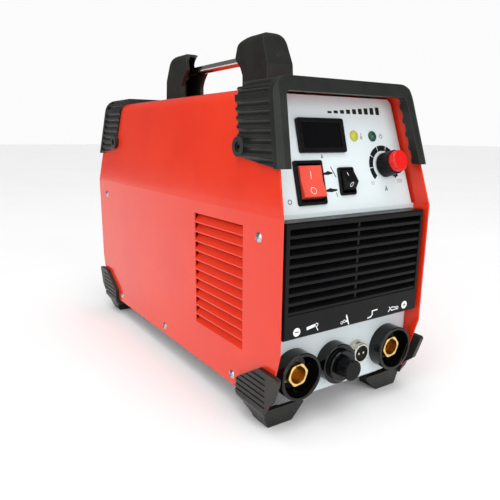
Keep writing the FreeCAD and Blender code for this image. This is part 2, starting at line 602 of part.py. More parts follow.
def build_outlets():
    nuts = build_socket(-1, "negative") + build_socket(1, "positive")
    add("socket_nuts", Part.makeCompound(nuts))
    x, z = OUTLET_X, OUTLET_Z
    profile = [(0, PANEL_RECESS + 22), (0, -1.6), (4.2, -1.6), (4.2, 0.8), (11.6, 0.8), (12.3, 1.6)]
    profile += [(12.3, 4.4), (15.2, 4.4), (15.7, 5.0), (15.7, PANEL_RECESS), (9.0, PANEL_RECESS)]
    profile += [(9.0, PANEL_RECESS + 10)]
    profile += [(5.0, PANEL_RECESS + 10), (5.0, PANEL_RECESS + 22)]
    body = turned_y(x, z, profile)
    add("gas_outlet_body", body.cut(lower_disc(x, z, 2.2, -3.0, 40.0)))
    cap = lower_disc(x, z, 7.8, -9.4, 0.3)
    rim = [e for e in cap.Edges if abs(e.BoundBox.YMax + 9.4) < 1e-6]
    cap = cap.makeFillet(0.9, rim).cut(lower_disc(x, z, 5.2, -2.4, 2.0))
    flats = []
    for k in range(12):
        a = math.radians(30 * k + 15)
        flats.append(lower_disc(x + 8.5 * math.cos(a), z + 8.5 * math.sin(a), 1.1, -11.0, -1.2))
    add("gas_outlet_cap", cap.cut(Part.makeCompound(flats)))
    x, z = CONNECTOR_X, CONNECTOR_Z
    shell = turned_y(x, z, [(6.4, 7.0), (7.6, 7.0), (8.0, 7.4), (8.0, 10.8), (9.0, 10.8), (9.0, PANEL_RECESS),
                            (7.6, PANEL_RECESS), (7.6, 24.0), (6.4, 24.0)])
    add("remote_connector_shell", shell)
    core = lower_disc(x, z, 6.4, 9.4, 26.0)
    pins = []
    for side in (-1, 1):
        core = core.cut(lower_disc(x + side * 2.4, z, 0.9, 8, 30))
        pin = lower_disc(x + side * 2.4, z, 0.9, 7.6, 31.0)
        pins.append(pin)
    add("remote_connector_insert", core)
    add("remote_connector_pins", Part.makeCompound(pins))


# ---- back end ----
def build_fan():
    half = FAN_SIZE / 2.0
    y0 = REAR_PANEL_Y - SHEET - FAN_DEPTH
    x, z = FAN_X, FAN_Z
    pts = [(x - half, z - half), (x + half, z - half), (x + half, z + half), (x - half, z + half)]
    frame = prism_y(pts, y0, y0 + FAN_DEPTH, [5] * 4).cut(lower_disc(x, z, 43.5, y0 - 1, y0 + 30))
    waist = prism_y(pts, y0 + 4, y0 + 21, [5] * 4).cut(lower_disc(x, z, 45.4, y0 - 1, y0 + 30))
    frame = frame.cut(waist)
    hub = lower_disc(x, z, 16.0, y0 + 1.0, y0 + 4.5)
    spokes = []
    for k in range(4):
        spoke = box(x + 10, x + 44.5, y0 + 1.0, y0 + 4.0, z - 2.2, z + 2.2)
        spoke.rotate(V(x, 0, z), V(0, 1, 0), 90 * k + 30)
        spokes.append(spoke)
    frame = fuse([frame, hub] + spokes)
    frame = frame.cut(lower_disc(x, z, 2.54, y0 + 1.8, y0 + 10))
    add("fan_frame", frame)
    rotor_hub = lower_disc(x, z, 17.5, y0 + 5.4, y0 + 22.5).fuse(lower_disc(x, z, 2.5, y0 + 2.2, y0 + 6))
    blades = [rotor_hub]
    for k in range(7):
        blade = Part.makeBox(25.0, 19.0, 1.8, V(16.3, -9.5, -0.9))
        blade.rotate(V(0, 0, 0), V(1, 0, 0), 34)
        blade.translate(V(0, y0 + 14.2, 0))
        blade.rotate(V(0, 0, 0), V(0, 1, 0), k * 360.0 / 7)
        blade.translate(V(x, 0, z))
        blades.append(blade)
    rotor = fuse(blades).common(lower_disc(x, z, 41.6, y0 + 2.2, y0 + 23.2))
    add("fan_rotor", rotor)
    rings = []
    guard_y = REAR_PANEL_Y
    for r in (12, 20, 28, 36, 43.5):
        rings.append(Part.makeTorus(r, 0.9, V(x, guard_y + 2.4, z), V(0, 1, 0)))
    for k in range(4):
        bar = tube_of(V(x - 52.0, guard_y + 0.95, z), V(1, 0, 0), 0.9, 104.0)
        bar.rotate(V(x, 0, z), V(0, 1, 0), 45 * k)
        rings.append(bar)
    guard = fuse(rings + [lower_disc(x, z, 9.0, guard_y + 1.0, guard_y + 2.6)])
    add("fan_guard", guard.cut(box(-90, 90, guard_y - 5, guard_y, 0, 220)))


def build_rear_fittings():
    y = REAR_PANEL_Y
    x, z = 40.0, 28.0
    gland = turned_y(x, z, [(5.2, y - 8), (8.0, y - 8), (8.0, y), (12.0, y), (12.0, y + 4), (11.0, y + 5),
                            (11.0, y + 18), (8.5, y + 21), (5.2, y + 21)])
    add("cable_gland", gland)
    x = -42.0
    end = CASE_LENGTH + FRONT_REACH
    stem = turned_y(x, z, [(1.8, y - 12), (5.0, y - 12), (5.0, y), (9.0, y), (9.0, y + 4), (6.5, y + 4),
                           (6.5, y + 9), (4.1, y + 9), (4.1, end - 8), (4.7, end - 8), (3.6, end - 4),
                           (4.7, end - 4), (3.5, end), (1.8, end)])
    add("gas_inlet", stem)
    x, z = 0.0, 24.0
    stud = fuse([hexagon_y(x, z, 9.0, y + 1.2, y + 5.0), lower_disc(x, z, 2.5, y, y + 9.0),
                 lower_disc(x, z, 6.0, y, y + 1.2)])
    add("earth_stud", stud)


# ---- inside ----
def comb(x0, x1, y0, y1, z0, z1, base, count):
    """Finned heat sink: a base plate with upright fins."""
    pieces = [box(x0, x1, y0, y1, z0, z0 + base)]
    for k in range(count):
        x = x0 + (x1 - x0 - 1.6) * k / (count - 1)
        pieces.append(box(x, x + 1.6, y0, y1, z0 + base - 0.1, z1))
    return fuse(pieces)


def build_inside():
    add("main_board", box(-64, 64, 66, 310, 118, 119.6))
    for name, x0, x1 in (("heatsink_left", -62, -12), ("heatsink_right", 12, 62)):
        flipped = comb(x0, x1, 80, 180, 0, 40, 5, 9)
        flipped = flipped.mirror(V(0, 0, 0), V(0, 0, 1))
        flipped.translate(V(0, 0, 112))
        add(name, flipped)
    chips = []
    for side in (-1, 1):
        for k in range(6):
            y = 86 + 15.5 * k
            x0, x1 = sorted((side * 14.0, side * 29.0))
            chips.append(box(x0, x1, y, y + 10, 112.0, 117.0))
            x0, x1 = sorted((side * 40.0, side * 55.0))
            chips.append(box(x0, x1, y, y + 10, 112.0, 117.0))
    add("power_transistors", Part.makeCompound(chips))
    caps = []
    for k in range(4):
        caps.append(tube_of(V(-44 + 30 * k, 225, 119.6), V(0, 0, 1), 13.0, 45.0))
    caps = [c.makeFillet(1.5, [e for e in c.Edges if abs(e.CenterOfMass.z - 164.6) < 1e-6]) for c in caps]
    add("bus_capacitors", Part.makeCompound(caps))
    windows = [box(-21, -8, 190, 260, 41, 75), box(8, 21, 190, 260, 41, 75)]
    core = box(-32, 32, 200, 252, 30, 86).cut(Part.makeCompound(windows))
    add("transformer_core", core)
    winding = prism_z([(-20, 190), (20, 190), (20, 262), (-20, 262)], 42, 74, [8] * 4)
    winding = winding.cut(box(-8.3, 8.3, 199.6, 252.4, 30, 90))
    add("transformer_winding", winding)
    choke = Part.makeTorus(19.0, 9.5, V(0, 130, 37), V(0, 1, 0))
    add("output_choke", choke)
    choke_space = Part.makeTorus(19.0, 9.55, V(0, 130, 37), V(0, 1, 0))
    choke_seat = box(-14, 14, 116, 144, 1.5, 17.0).cut(choke_space)
    seats = [box(-34, 34, 200, 206, 1.5, 30), box(-34, 34, 246, 252, 1.5, 30), choke_seat]
    add("core_cradles", Part.makeCompound(seats))
    add("control_board", box(-58, 58, 66, 67.6, 119.6, 196))
    rails = []
    for side in (-1, 1):
        x0, x1 = sorted((side * 60.0, side * 64.9))
        rails.append(box(x0, x1, 62, 316, 116.0, 118.0))
        x0, x1 = sorted((side * 62.4, side * 64.9))
        rails.append(box(x0, x1, 124, 134, 1.5, 116.0))
        rails.append(box(x0, x1, 302, 312, 1.5, 116.0))
    add("board_rails", Part.makeCompound([fuse([r for r in rails if r.BoundBox.XMax < 0]),
                                          fuse([r for r in rails if r.BoundBox.XMin > 0])]))
    valve = fuse([box(-56, -30, 276, 306, 34, 58), box(-56, -30, 294, 306, 1.5, 34),
                  tube_of(V(-43, 291, 58), V(0, 0, 1), 10.5, 26.0)])
    add("gas_valve", valve)
    turns = [V(OUTLET_X, 36.2, OUTLET_Z), V(OUTLET_X, 56, OUTLET_Z), V(-42, 56, OUTLET_Z)]
    turns += [V(-42, 284, OUTLET_Z), V(-42, 284, 34)]
    runs = []
    for a, b in zip(turns[:-1], turns[1:]):
        runs.append(Part.makeCylinder(3.5, (b - a).Length, a, b - a))
    for corner in turns[1:-1]:
        runs.append(Part.makeSphere(3.5, corner))
    inlet_run = Part.makeCylinder(4.6, REAR_PANEL_Y - 12.0 - 306.0, V(-42, 306, 28), V(0, 1, 0))
    add("gas_hose", Part.makeCompound([fuse(runs), inlet_run]))
    bars = []
    for side in (-1, 1):
        x0, x1 = sorted((side * 43.0, side * 53.0))
        bars.append(fuse([box(x0, x1, 35.9, 38.4, 38, 72), box(x0, x1, 38.4, 84.0, 69, 72)]))
    add("output_busbars", Part.makeCompound(bars))


def build_screws():
    heads = []
    places = [(25.9, 122.4), (60.1, 8.0), (184.5, 8.0), (CASE_LENGTH - 25.9, 122.4)]
    places.append((CASE_LENGTH - 60.1, 8.0))
    for y, z in places:
        for side in (-1, 1):
            x = CASE_HALF_WIDTH
            dome = Part.makeSphere(4.6, V(x - 2.7, y, z)).common(box(x, x + 4, y - 9, y + 9, z - 9, z + 9))
            cross = box(x + 1.0, x + 4, y - 2.0, y + 2.0, z - 0.45, z + 0.45)
            cross = cross.fuse(box(x + 1.0, x + 4, y - 0.45, y + 0.45, z - 2.0, z + 2.0))
            dome = dome.cut(cross)
            heads.append(dome if side > 0 else mirror_x(dome))
    add("cover_screws", Part.makeCompound(heads))


def build_all():
    add("cover", build_cover())
    add("base_plate", build_base())
    add("front_panel", build_front_panel())
    add("rear_panel", build_rear_panel())
    guard = build_top_guard()
    add("guard_front", guard)
    add("guard_rear", mirror_y(guard))
    guard_screws("guard_screws")
    foot = build_foot()
    add("foot_front_right", foot)
    add("foot_front_left", mirror_x(foot))
    add("foot_rear_right", mirror_y(foot))
    add("foot_rear_left", mirror_y(mirror_x(foot)))
    add("front_grille", build_grille())
    build_handle()
    build_controls()
    build_outlets()
    build_fan()
    build_rear_fittings()
    build_inside()
    build_screws()


os.makedirs(OUT, exist_ok=True)
build_all()
for name in nodes:
    piece = nodes[name].copy()
    piece.translate(TO_SHARED)
    piece.exportStep(os.path.join(OUT, name + ".step"))
    b = piece.BoundBox
    print("%-26s %7.1f %7.1f %7.1f %7.1f %7.1f %7.1f  solids %d vol %.0f" % (
        name, b.XMin, b.XMax, b.YMin, b.YMax, b.ZMin, b.ZMax, len(piece.Solids), piece.Volume))
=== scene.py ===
import bmesh
import bpy
import math
from collections import namedtuple
from mathutils import Matrix, Vector
from mathutils.bvhtree import BVHTree


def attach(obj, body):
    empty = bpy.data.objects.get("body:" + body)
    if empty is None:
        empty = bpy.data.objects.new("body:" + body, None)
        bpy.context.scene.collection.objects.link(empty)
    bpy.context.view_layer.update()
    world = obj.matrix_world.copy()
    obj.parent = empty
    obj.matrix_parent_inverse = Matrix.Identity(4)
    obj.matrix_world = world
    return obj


# Portable TIG welding inverter: materials, printed marks, camera, floor and lights around the packed
# CAD frame. Metres throughout, in the frame's own axes: X right, Y back, Z up, floor at 0.

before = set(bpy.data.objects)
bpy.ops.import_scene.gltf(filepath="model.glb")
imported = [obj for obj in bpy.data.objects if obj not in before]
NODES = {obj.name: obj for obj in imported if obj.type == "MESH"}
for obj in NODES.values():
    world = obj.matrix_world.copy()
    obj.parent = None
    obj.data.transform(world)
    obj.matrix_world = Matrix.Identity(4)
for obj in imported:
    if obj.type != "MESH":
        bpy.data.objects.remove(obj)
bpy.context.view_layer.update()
MM = 0.001


# ---- materials ----
# Noise hovers round its middle, so it is stretched between one of these pairs of values.
NARROW = (0.35, 0.65)
WIDE = (0.3, 0.7)
BEVEL_SAMPLES = 4
EDGE_DOT = (0.98, 0.75)
SHEET_EDGE = 0.0005
SHEET_EDGE_WEAR = 0.0006
MOULD_EDGE = 0.0004
MOULD_EDGE_WEAR = 1.6
MOULD_EDGE_SHARE = 0.6
METAL_EDGE = 0.00025
ORANGE_PEEL = 0.00002
MOULD_GRAIN = 0.00003
SCRATCH_DEPTH = 0.000006
POLISH_DEPTH = 0.000004
ACRYLIC_IOR = 1.49
INK_SHINE = 0.2


class Finish:
    """A Principled material and short calls for the nodes that feed it."""

    def __init__(self, name, metallic=0.0, ior=1.5, coat=0.0, shine=0.5):
        self.mat = bpy.data.materials.new(name)
        self.mat.use_nodes = True
        self.tree = self.mat.node_tree
        self.tree.nodes.clear()
        out = self.node("ShaderNodeOutputMaterial")
        self.bsdf = self.node("ShaderNodeBsdfPrincipled")
        self.join(self.bsdf.outputs[0], out.inputs[0])
        self.bsdf.inputs["Metallic"].default_value = metallic
        self.bsdf.inputs["IOR"].default_value = ior
        self.bsdf.inputs["Specular IOR Level"].default_value = shine
        self.bsdf.inputs["Coat Weight"].default_value = coat
        self.bsdf.inputs["Coat Roughness"].default_value = 0.05
        self.place = self.node("ShaderNodeTexCoord").outputs["Object"]
        self.normal = None

    def node(self, kind):
        return self.tree.nodes.new(kind)

    def join(self, source, target):
        self.tree.links.new(source, target)

    def stretched(self, scale):
        """Object coordinates scaled by a vector, for brushed or drawn grain."""
        mapping = self.node("ShaderNodeMapping")
        self.join(self.place, mapping.inputs["Vector"])
        mapping.inputs["Scale"].default_value = scale
        return mapping.outputs[0]

    def noise(self, scale, detail, rough=0.5, stretch=None):
        found = self.node("ShaderNodeTexNoise")
        self.join(self.stretched(stretch) if stretch else self.place, found.inputs["Vector"])
        found.inputs["Scale"].default_value = scale
        found.inputs["Detail"].default_value = detail
        found.inputs["Roughness"].default_value = rough
        return found.outputs["Fac"]

    def cells(self, scale):
        found = self.node("ShaderNodeTexVoronoi")
        self.join(self.place, found.inputs["Vector"])
        found.inputs["Scale"].default_value = scale
        return found.outputs["Distance"]

    def spread(self, value, given, wanted=(0.0, 1.0)):
        """value from the given range to the wanted one, clamped."""
        found = self.node("ShaderNodeMapRange")
        self.join(value, found.inputs["Value"])
        for name, number in zip(("From Min", "From Max", "To Min", "To Max"), (*given, *wanted)):
            found.inputs[name].default_value = number
        return found.outputs[0]

    def mix(self, share, first, second):
        """Colour between first and second by share; each is a colour or a socket."""
        found = self.node("ShaderNodeMix")
        found.data_type = "RGBA"
        self.join(share, found.inputs[0])
        for index, value in ((6, first), (7, second)):
            if isinstance(value, tuple):
                found.inputs[index].default_value = (*value, 1.0)
            else:
                self.join(value, found.inputs[index])
        return found.outputs[2]

    def colour(self, socket):
        self.join(socket, self.bsdf.inputs["Base Color"])

    def rough(self, noise, limits):
        """Roughness between the two limits, by a noise."""
        self.join(self.spread(noise, WIDE, limits), self.bsdf.inputs["Roughness"])

    def bump(self, height, depth):
        """Adds a relief of the given depth in metres under the ones before it."""
        found = self.node("ShaderNodeBump")
        self.join(height, found.inputs["Height"])
        found.inputs["Distance"].default_value = depth
        if self.normal is not None:
            self.join(self.normal, found.inputs["Normal"])
        self.normal = found.outputs[0]
        self.join(self.normal, self.bsdf.inputs["Normal"])

    def bevel(self, radius):
        found = self.node("ShaderNodeBevel")
        found.samples = BEVEL_SAMPLES
        found.inputs["Radius"].default_value = radius
        return found.outputs[0]

    def soft_edges(self, radius):
        """Edges rounded by a small radius, as a pressed or moulded edge is."""
        self.normal = self.bevel(radius)
        self.join(self.normal, self.bsdf.inputs["Normal"])

    def edge_share(self, radius):
        """1 along sharp edges and 0 on faces, for worn or thin edges."""
        rounded = self.bevel(radius)
        geometry = self.node("ShaderNodeNewGeometry")
        dot = self.node("ShaderNodeVectorMath")
        dot.operation = "DOT_PRODUCT"
        self.join(rounded, dot.inputs[0])
        self.join(geometry.outputs["Normal"], dot.inputs[1])
        return self.spread(dot.outputs["Value"], EDGE_DOT)


def paint(name, main, shade, rough, coat=0.0, edge=None, shine=0.5):
    """Sprayed or powder-coated sheet: slow colour drift, fine orange peel, thin edges."""
    f = Finish(name, coat=coat, shine=shine)
    f.soft_edges(SHEET_EDGE)
    tone = f.mix(f.spread(f.noise(14.0, detail=4.0), NARROW), main, shade)
    if edge:
        tone = f.mix(f.edge_share(SHEET_EDGE_WEAR), tone, edge)
    f.colour(tone)
    f.rough(f.noise(90.0, detail=5.0, rough=0.6), rough)
    f.bump(f.noise(420.0, detail=2.0), ORANGE_PEEL)
    f.bump(f.noise(45.0, detail=2.0), ORANGE_PEEL * 4.0)
    return f.mat


def moulded(name, main, shade, rough, grain, depth=MOULD_GRAIN, edge=None, shine=0.5):
    """Moulded plastic or rubber: fine leather-like grain, slight mottle, paler rubbed edges."""
    f = Finish(name, shine=shine)
    f.soft_edges(MOULD_EDGE)
    tone = f.mix(f.spread(f.noise(60.0, detail=4.0, rough=0.6), NARROW), main, shade)
    if edge:
        worn = f.edge_share(MOULD_EDGE * MOULD_EDGE_WEAR)
        tone = f.mix(f.spread(worn, (0.0, 1.0), (0.0, MOULD_EDGE_SHARE)), tone, edge)
    f.colour(tone)
    f.rough(f.noise(240.0, detail=3.0), rough)
    f.bump(f.cells(grain), depth)
    return f.mat


def metal(name, main, shade, rough, grain=(1.0, 1.0, 1.0), scale=500.0):
    """Plated, drawn or turned metal: directional scratches in colour, gloss and relief."""
    f = Finish(name, metallic=1.0)
    f.soft_edges(METAL_EDGE)
    scratch = f.noise(scale, detail=5.0, rough=0.65, stretch=grain)
    f.colour(f.mix(f.spread(scratch, WIDE), main, shade))
    f.rough(f.noise(scale * 0.6, detail=4.0, rough=0.6, stretch=grain), rough)
    f.bump(scratch, SCRATCH_DEPTH)
    return f.mat


def tinted(name, main, deep, rough, glow=0.0, shine=0.5):
    """Tinted lens or window: depth of colour from slow noise, polished face."""
    f = Finish(name, ior=ACRYLIC_IOR, shine=shine)
    f.colour(f.mix(f.spread(f.noise(300.0, detail=3.0), WIDE), main, deep))
    f.rough(f.noise(200.0, detail=3.0), (rough, rough + 0.05))
    f.bump(f.noise(700.0, detail=2.0), POLISH_DEPTH)
    if glow:
        f.bsdf.inputs["Emission Color"].default_value = (*main, 1.0)
        f.bsdf.inputs["Emission Strength"].default_value = glow
    return f.mat


def ink(name, main, shade):
    """Screen-printed ink: slightly uneven film."""
    f = Finish(name, shine=INK_SHINE)
    f.colour(f.mix(f.spread(f.noise(1500.0, detail=3.0), NARROW), main, shade))
    f.rough(f.noise(800.0, detail=3.0), (0.4, 0.6))
    f.bump(f.noise(2500.0, detail=2.0), POLISH_DEPTH)
    return f.mat


M = {
    "red_paint": paint(
        "red_enamel", (0.79, 0.037, 0.009), (0.74, 0.029, 0.007), (0.14, 0.24), coat=0.2,
        edge=(0.84, 0.07, 0.035), shine=0.35),
    "panel_coat": paint(
        "silver_grey_coat", (0.66, 0.73, 0.745), (0.61, 0.685, 0.705), (0.3, 0.42)),
    "guard_rubberised": moulded(
        "rubberised_guard", (0.0165, 0.0182, 0.0152), (0.0105, 0.0118, 0.0096), (0.32, 0.46),
        grain=1100.0, edge=(0.08, 0.087, 0.08), shine=0.34),
    "black_plastic": moulded(
        "black_moulding", (0.0052, 0.0052, 0.006), (0.0036, 0.0036, 0.0042), (0.26, 0.4),
        grain=1300.0, depth=0.00002, edge=(0.02, 0.021, 0.022), shine=0.14),
    "gloss_black": moulded(
        "gloss_black_moulding", (0.0024, 0.0024, 0.003), (0.0018, 0.0018, 0.0022), (0.04, 0.1),
        grain=400.0, depth=POLISH_DEPTH, shine=0.34),
    "red_plastic": moulded(
        "red_moulding", (0.68, 0.007, 0.003), (0.62, 0.006, 0.003), (0.2, 0.32),
        grain=800.0, depth=0.000008, edge=(0.9, 0.07, 0.04), shine=0.4),
    "meter_glass": tinted(
        "smoked_window", (0.0022, 0.0022, 0.003), (0.0014, 0.0014, 0.002), 0.06, shine=0.25),
    "amber_lens": tinted(
        "yellow_lens", (0.52, 0.52, 0.04), (0.34, 0.33, 0.02), 0.08, glow=0.06),
    "green_lens": tinted(
        "green_lens", (0.004, 0.075, 0.035), (0.002, 0.04, 0.02), 0.08, glow=0.015),
    "chrome": metal(
        "bright_plate", (0.80, 0.79, 0.77), (0.66, 0.65, 0.63), (0.05, 0.12),
        grain=(60.0, 1.0, 60.0), scale=40.0),
    "screw_steel": metal(
        "zinc_screw", (0.66, 0.66, 0.67), (0.46, 0.46, 0.48), (0.2, 0.36)),
    "zinc_sheet": metal(
        "zinc_sheet", (0.60, 0.61, 0.63), (0.46, 0.47, 0.50), (0.28, 0.46), scale=60.0),
    "brass": metal(
        "machined_brass", (0.98, 0.70, 0.27), (0.84, 0.55, 0.18), (0.22, 0.36),
        grain=(1.0, 14.0, 1.0), scale=260.0),
    "copper": metal(
        "copper_bar", (0.80, 0.38, 0.22), (0.60, 0.26, 0.14), (0.22, 0.4)),
    "aluminium_fins": metal(
        "mill_aluminium", (0.72, 0.73, 0.75), (0.56, 0.57, 0.59), (0.25, 0.42),
        grain=(1.0, 12.0, 1.0), scale=120.0),
    "board_green": moulded(
        "solder_mask", (0.02, 0.14, 0.06), (0.015, 0.10, 0.045), (0.25, 0.4), grain=500.0),
    "chip_black": moulded(
        "moulded_epoxy", (0.02, 0.02, 0.022), (0.013, 0.013, 0.014), (0.4, 0.55), grain=900.0),
    "ferrite": moulded(
        "sintered_ferrite", (0.05, 0.05, 0.055), (0.03, 0.03, 0.034), (0.5, 0.7), grain=600.0),
    "hose_black": moulded(
        "smooth_hose", (0.018, 0.018, 0.018), (0.012, 0.012, 0.012), (0.3, 0.42), grain=700.0),
}
# Power rocker: a paler copy of the red moulding, its paleness a painted highlight standing for the
# light on its tilted face.
ROCKER_RED_PAINTED_HIGHLIGHT = moulded(
    "rocker_red_painted_highlight", (0.74, 0.085, 0.055), (0.68, 0.07, 0.045), (0.16, 0.28),
    grain=800.0, depth=0.000008, edge=(0.8, 0.16, 0.11), shine=0.4)
BLACK_STEEL = metal("blackened_steel", (0.05, 0.05, 0.055), (0.03, 0.03, 0.034), (0.25, 0.4))
NICKEL = metal(
    "nickel_shell", (0.70, 0.66, 0.56), (0.52, 0.49, 0.42), (0.12, 0.26),
    grain=(1.0, 20.0, 1.0), scale=300.0)
WHITE_INK = ink("white_print", (0.86, 0.87, 0.88), (0.78, 0.79, 0.80))
BLACK_INK = ink("black_print", (0.004, 0.004, 0.005), (0.008, 0.008, 0.009))
GREY_INK = ink("grey_print", (0.20, 0.21, 0.22), (0.26, 0.27, 0.28))
PALE_MARK = ink("moulded_mark", (0.85, 0.72, 0.70), (0.78, 0.62, 0.60))

# Every CAD node takes the finish of its own slot, apart from four: the guard screws and the remote
# connector, whose real finish differs from it, and the power rocker, whose paler red is a painted
# highlight.
for node in NODES.values():
    for index, held in enumerate(node.data.materials):
        slot_name = held.name.split(".")[0] if held else "black_plastic"
        node.data.materials[index] = M[slot_name]
NODES["guard_screws"].data.materials[0] = BLACK_STEEL
# The power rocker takes the paler red of the painted highlight.
NODES["power_rocker"].data.materials[0] = ROCKER_RED_PAINTED_HIGHLIGHT
NODES["remote_connector_shell"].data.materials[0] = NICKEL
NODES["remote_connector_pins"].data.materials[0] = NICKEL


# ---- printed marks ----
# A face's 2-D points are in millimetres: across from the middle, and up from the face's foot. The
# leaning panel's foot is the crease where it meets the upright lower panel, and the grille strip's
# foot is the level of the case's lower edge.
PANEL_LEAN = math.radians(16.03)
CREASE = Vector((0.0, -0.1668, 0.1557))
PANEL_UP = Vector((0.0, math.sin(PANEL_LEAN), math.cos(PANEL_LEAN)))
PANEL_OUT = Vector((0.0, -math.cos(PANEL_LEAN), math.sin(PANEL_LEAN)))
CASE_FOOT = Vector((0.0, -0.1796, 0.018))
UP = Vector((0.0, 0.0, 1.0))
FORWARD = Vector((0.0, -1.0, 0.0))
FILM_SINK = 0.03
FILM_RISE = 0.05
OVERPRINT = 0.06
RAY_START = 25.0
RAY_REACH = 0.05
SHARPEST_MITRE = 0.4
ARC_STEPS = 24
RING_STEPS = 32
LINE_STEP = 1.2

Face = namedtuple("Face", "node foot up out body slot")
PANEL = Face("front_panel", CREASE, PANEL_UP, PANEL_OUT, "case", "panel_coat")
STRIP = Face("front_grille", CASE_FOOT, UP, FORWARD, "case", "black_plastic")
POWER_FACE = Face("power_rocker", CREASE, PANEL_UP, PANEL_OUT, "power_rocker_body", "red_plastic")
MODE_FACE = Face("mode_rocker", CREASE, PANEL_UP, PANEL_OUT, "mode_rocker_body", "black_plastic")


def surface_of(name):
    """Ray-cast tree of a node's mesh, whose vertices are already in place."""
    data = NODES[name].data
    return BVHTree.FromPolygons([v.co for v in data.vertices], [p.vertices for p in data.polygons])


def stroke(points, width, closed=False):
    """A line of the given width with mitred corners, as one strip: (2-D vertices, faces)."""
    points = [Vector(p) for p in points]
    count = len(points)
    verts = []
    for i, point in enumerate(points):
        ways = []
        if i > 0 or closed:
            ways.append((point - points[i - 1]).normalized())
        if i < count - 1 or closed:
            ways.append((points[(i + 1) % count] - point).normalized())
        way = (ways[0] + ways[-1]).normalized()
        across = Vector((-way.y, way.x))
        mitre = abs(across.dot(Vector((-ways[0].y, ways[0].x))))
        reach = width / 2 / max(SHARPEST_MITRE, mitre)
        verts += [point + across * reach, point - across * reach]
    faces = []
    for i in range(count if closed else count - 1):
        j = (i + 1) % count
        faces.append((2 * i, 2 * i + 1, 2 * j + 1, 2 * j))
    return verts, faces


def arc(cx, cy, r, start=0.0, end=360.0, steps=ARC_STEPS):
    """Points along an arc, angles in degrees from across towards up."""
    turns = [math.radians(start + (end - start) * k / steps) for k in range(steps + 1)]
    return [(cx + r * math.cos(a), cy + r * math.sin(a)) for a in turns]


def ring(cx, cy, r, width):
    return stroke(arc(cx, cy, r, steps=RING_STEPS)[:-1], width, closed=True)


def patch(points):
    """A filled outline, as one face."""
    return [Vector(p) for p in points], [tuple(range(len(points)))]


def disc(cx, cy, r):
    return patch(arc(cx, cy, r)[:-1])


def line(points, width):
    """A straight or bent line cut into short lengths, so that it follows a curved face."""
    path = [Vector(points[0])]
    for a, b in zip(points, points[1:]):
        a, b = Vector(a), Vector(b)
        parts = max(1, int((b - a).length / LINE_STEP))
        path += [a.lerp(b, k / parts) for k in range(1, parts + 1)]
    return stroke(path, width)


def film(name, shapes, face, material, lift=0.0):
    """Thin closed plates of ink laid on a face of the model, one plate for each shape."""
    tree = surface_of(face.node)
    mesh = bmesh.new()
    for verts, polygons in shapes:
        low = []
        high = []
        for v in verts:
            flat = face.foot + Vector((v[0] * MM, 0.0, 0.0)) + face.up * (v[1] * MM)
            hit = tree.ray_cast(flat + face.out * (RAY_START * MM), -face.out, RAY_REACH)[0]
            base = hit if hit is not None else flat
            low.append(mesh.verts.new(base + face.out * ((lift - FILM_SINK) * MM)))
            high.append(mesh.verts.new(base + face.out * ((lift + FILM_RISE) * MM)))
        sides = {}
        for polygon in polygons:
            mesh.faces.new([high[k] for k in polygon])
            mesh.faces.new([low[k] for k in reversed(polygon)])
            for pair in zip(polygon, polygon[1:] + polygon[:1]):
                sides.setdefault(frozenset(pair), []).append(pair)
        for pairs in sides.values():
            if len(pairs) == 1:
                a, b = pairs[0]
                mesh.faces.new((high[b], high[a], low[a], low[b]))
    bmesh.ops.recalc_face_normals(mesh, faces=mesh.faces)
    data = bpy.data.meshes.new(name)
    mesh.to_mesh(data)
    mesh.free()
    data.materials.append(material)
    piece = bpy.data.objects.new(name, data)
    bpy.context.scene.collection.objects.link(piece)
    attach(piece, face.body)


# Figures are this share of their height wide, and stand this share of it apart.
FIGURE_WIDTH = 0.55
FIGURE_PITCH = 0.78


def figure(mark, x, y, h, width):
    """One of 0, 1, 2 or A, of height h, with its lower left corner at x, y."""
    w = h * FIGURE_WIDTH
    if mark == "0":
        turns = [math.radians(15 * k) for k in range(24)]
        loop = [(x + w / 2 + w / 2 * math.cos(a), y + h / 2 + h / 2 * math.sin(a)) for a in turns]
        return [stroke(loop, width, closed=True)]
    if mark == "1":
        return [stroke([(x + w * 0.1, y + h * 0.72), (x + w * 0.55, y + h), (x + w * 0.55, y)], width)]
    if mark == "2":
        bend = arc(x + w / 2, y + h * 0.7, w / 2, 165.0, -35.0, steps=8)
        return [stroke(bend + [(x, y + width / 2), (x + w, y + width / 2)], width)]
    legs = stroke([(x, y), (x + w * 0.62, y + h), (x + w * 1.24, y)], width)
    bar = stroke([(x + w * 0.27, y + h * 0.34), (x + w * 0.97, y + h * 0.34)], width)
    return [legs, bar]


def figures(text, x, y, h, width):
    shapes = []
    for k, mark in enumerate(text):
        shapes += figure(mark, x + k * h * FIGURE_PITCH, y, h, width)
    return shapes


# dial ring, its figures and unit
DIAL = (42.0, 31.1)
DIAL_R = 13.3
DIAL_WIDTH = 4.2
DIAL_ARCS = ((222.0, 187.0), (185.0, 149.0), (147.0, 111.0), (109.0, 73.0), (71.0, 35.0),
             (33.0, -3.0), (-5.0, -42.0))
DIAL_FIGURE = (2.5, 0.36)
film("dial_ring", [stroke(arc(*DIAL, DIAL_R, start, end, steps=12), DIAL_WIDTH)
                   for start, end in DIAL_ARCS], PANEL, BLACK_INK)
film("dial_figures", figures("10", 25.9, 16.9, *DIAL_FIGURE) + figures("200", 54.6, 17.4, *DIAL_FIGURE),
     PANEL, GREY_INK)
film("dial_unit", figure("A", 40.1, 11.6, 3.6, 0.62), PANEL, BLACK_INK)
film("meter_unit", figure("A", -19.6, 37.6, 2.6, 0.42), PANEL, BLACK_INK)

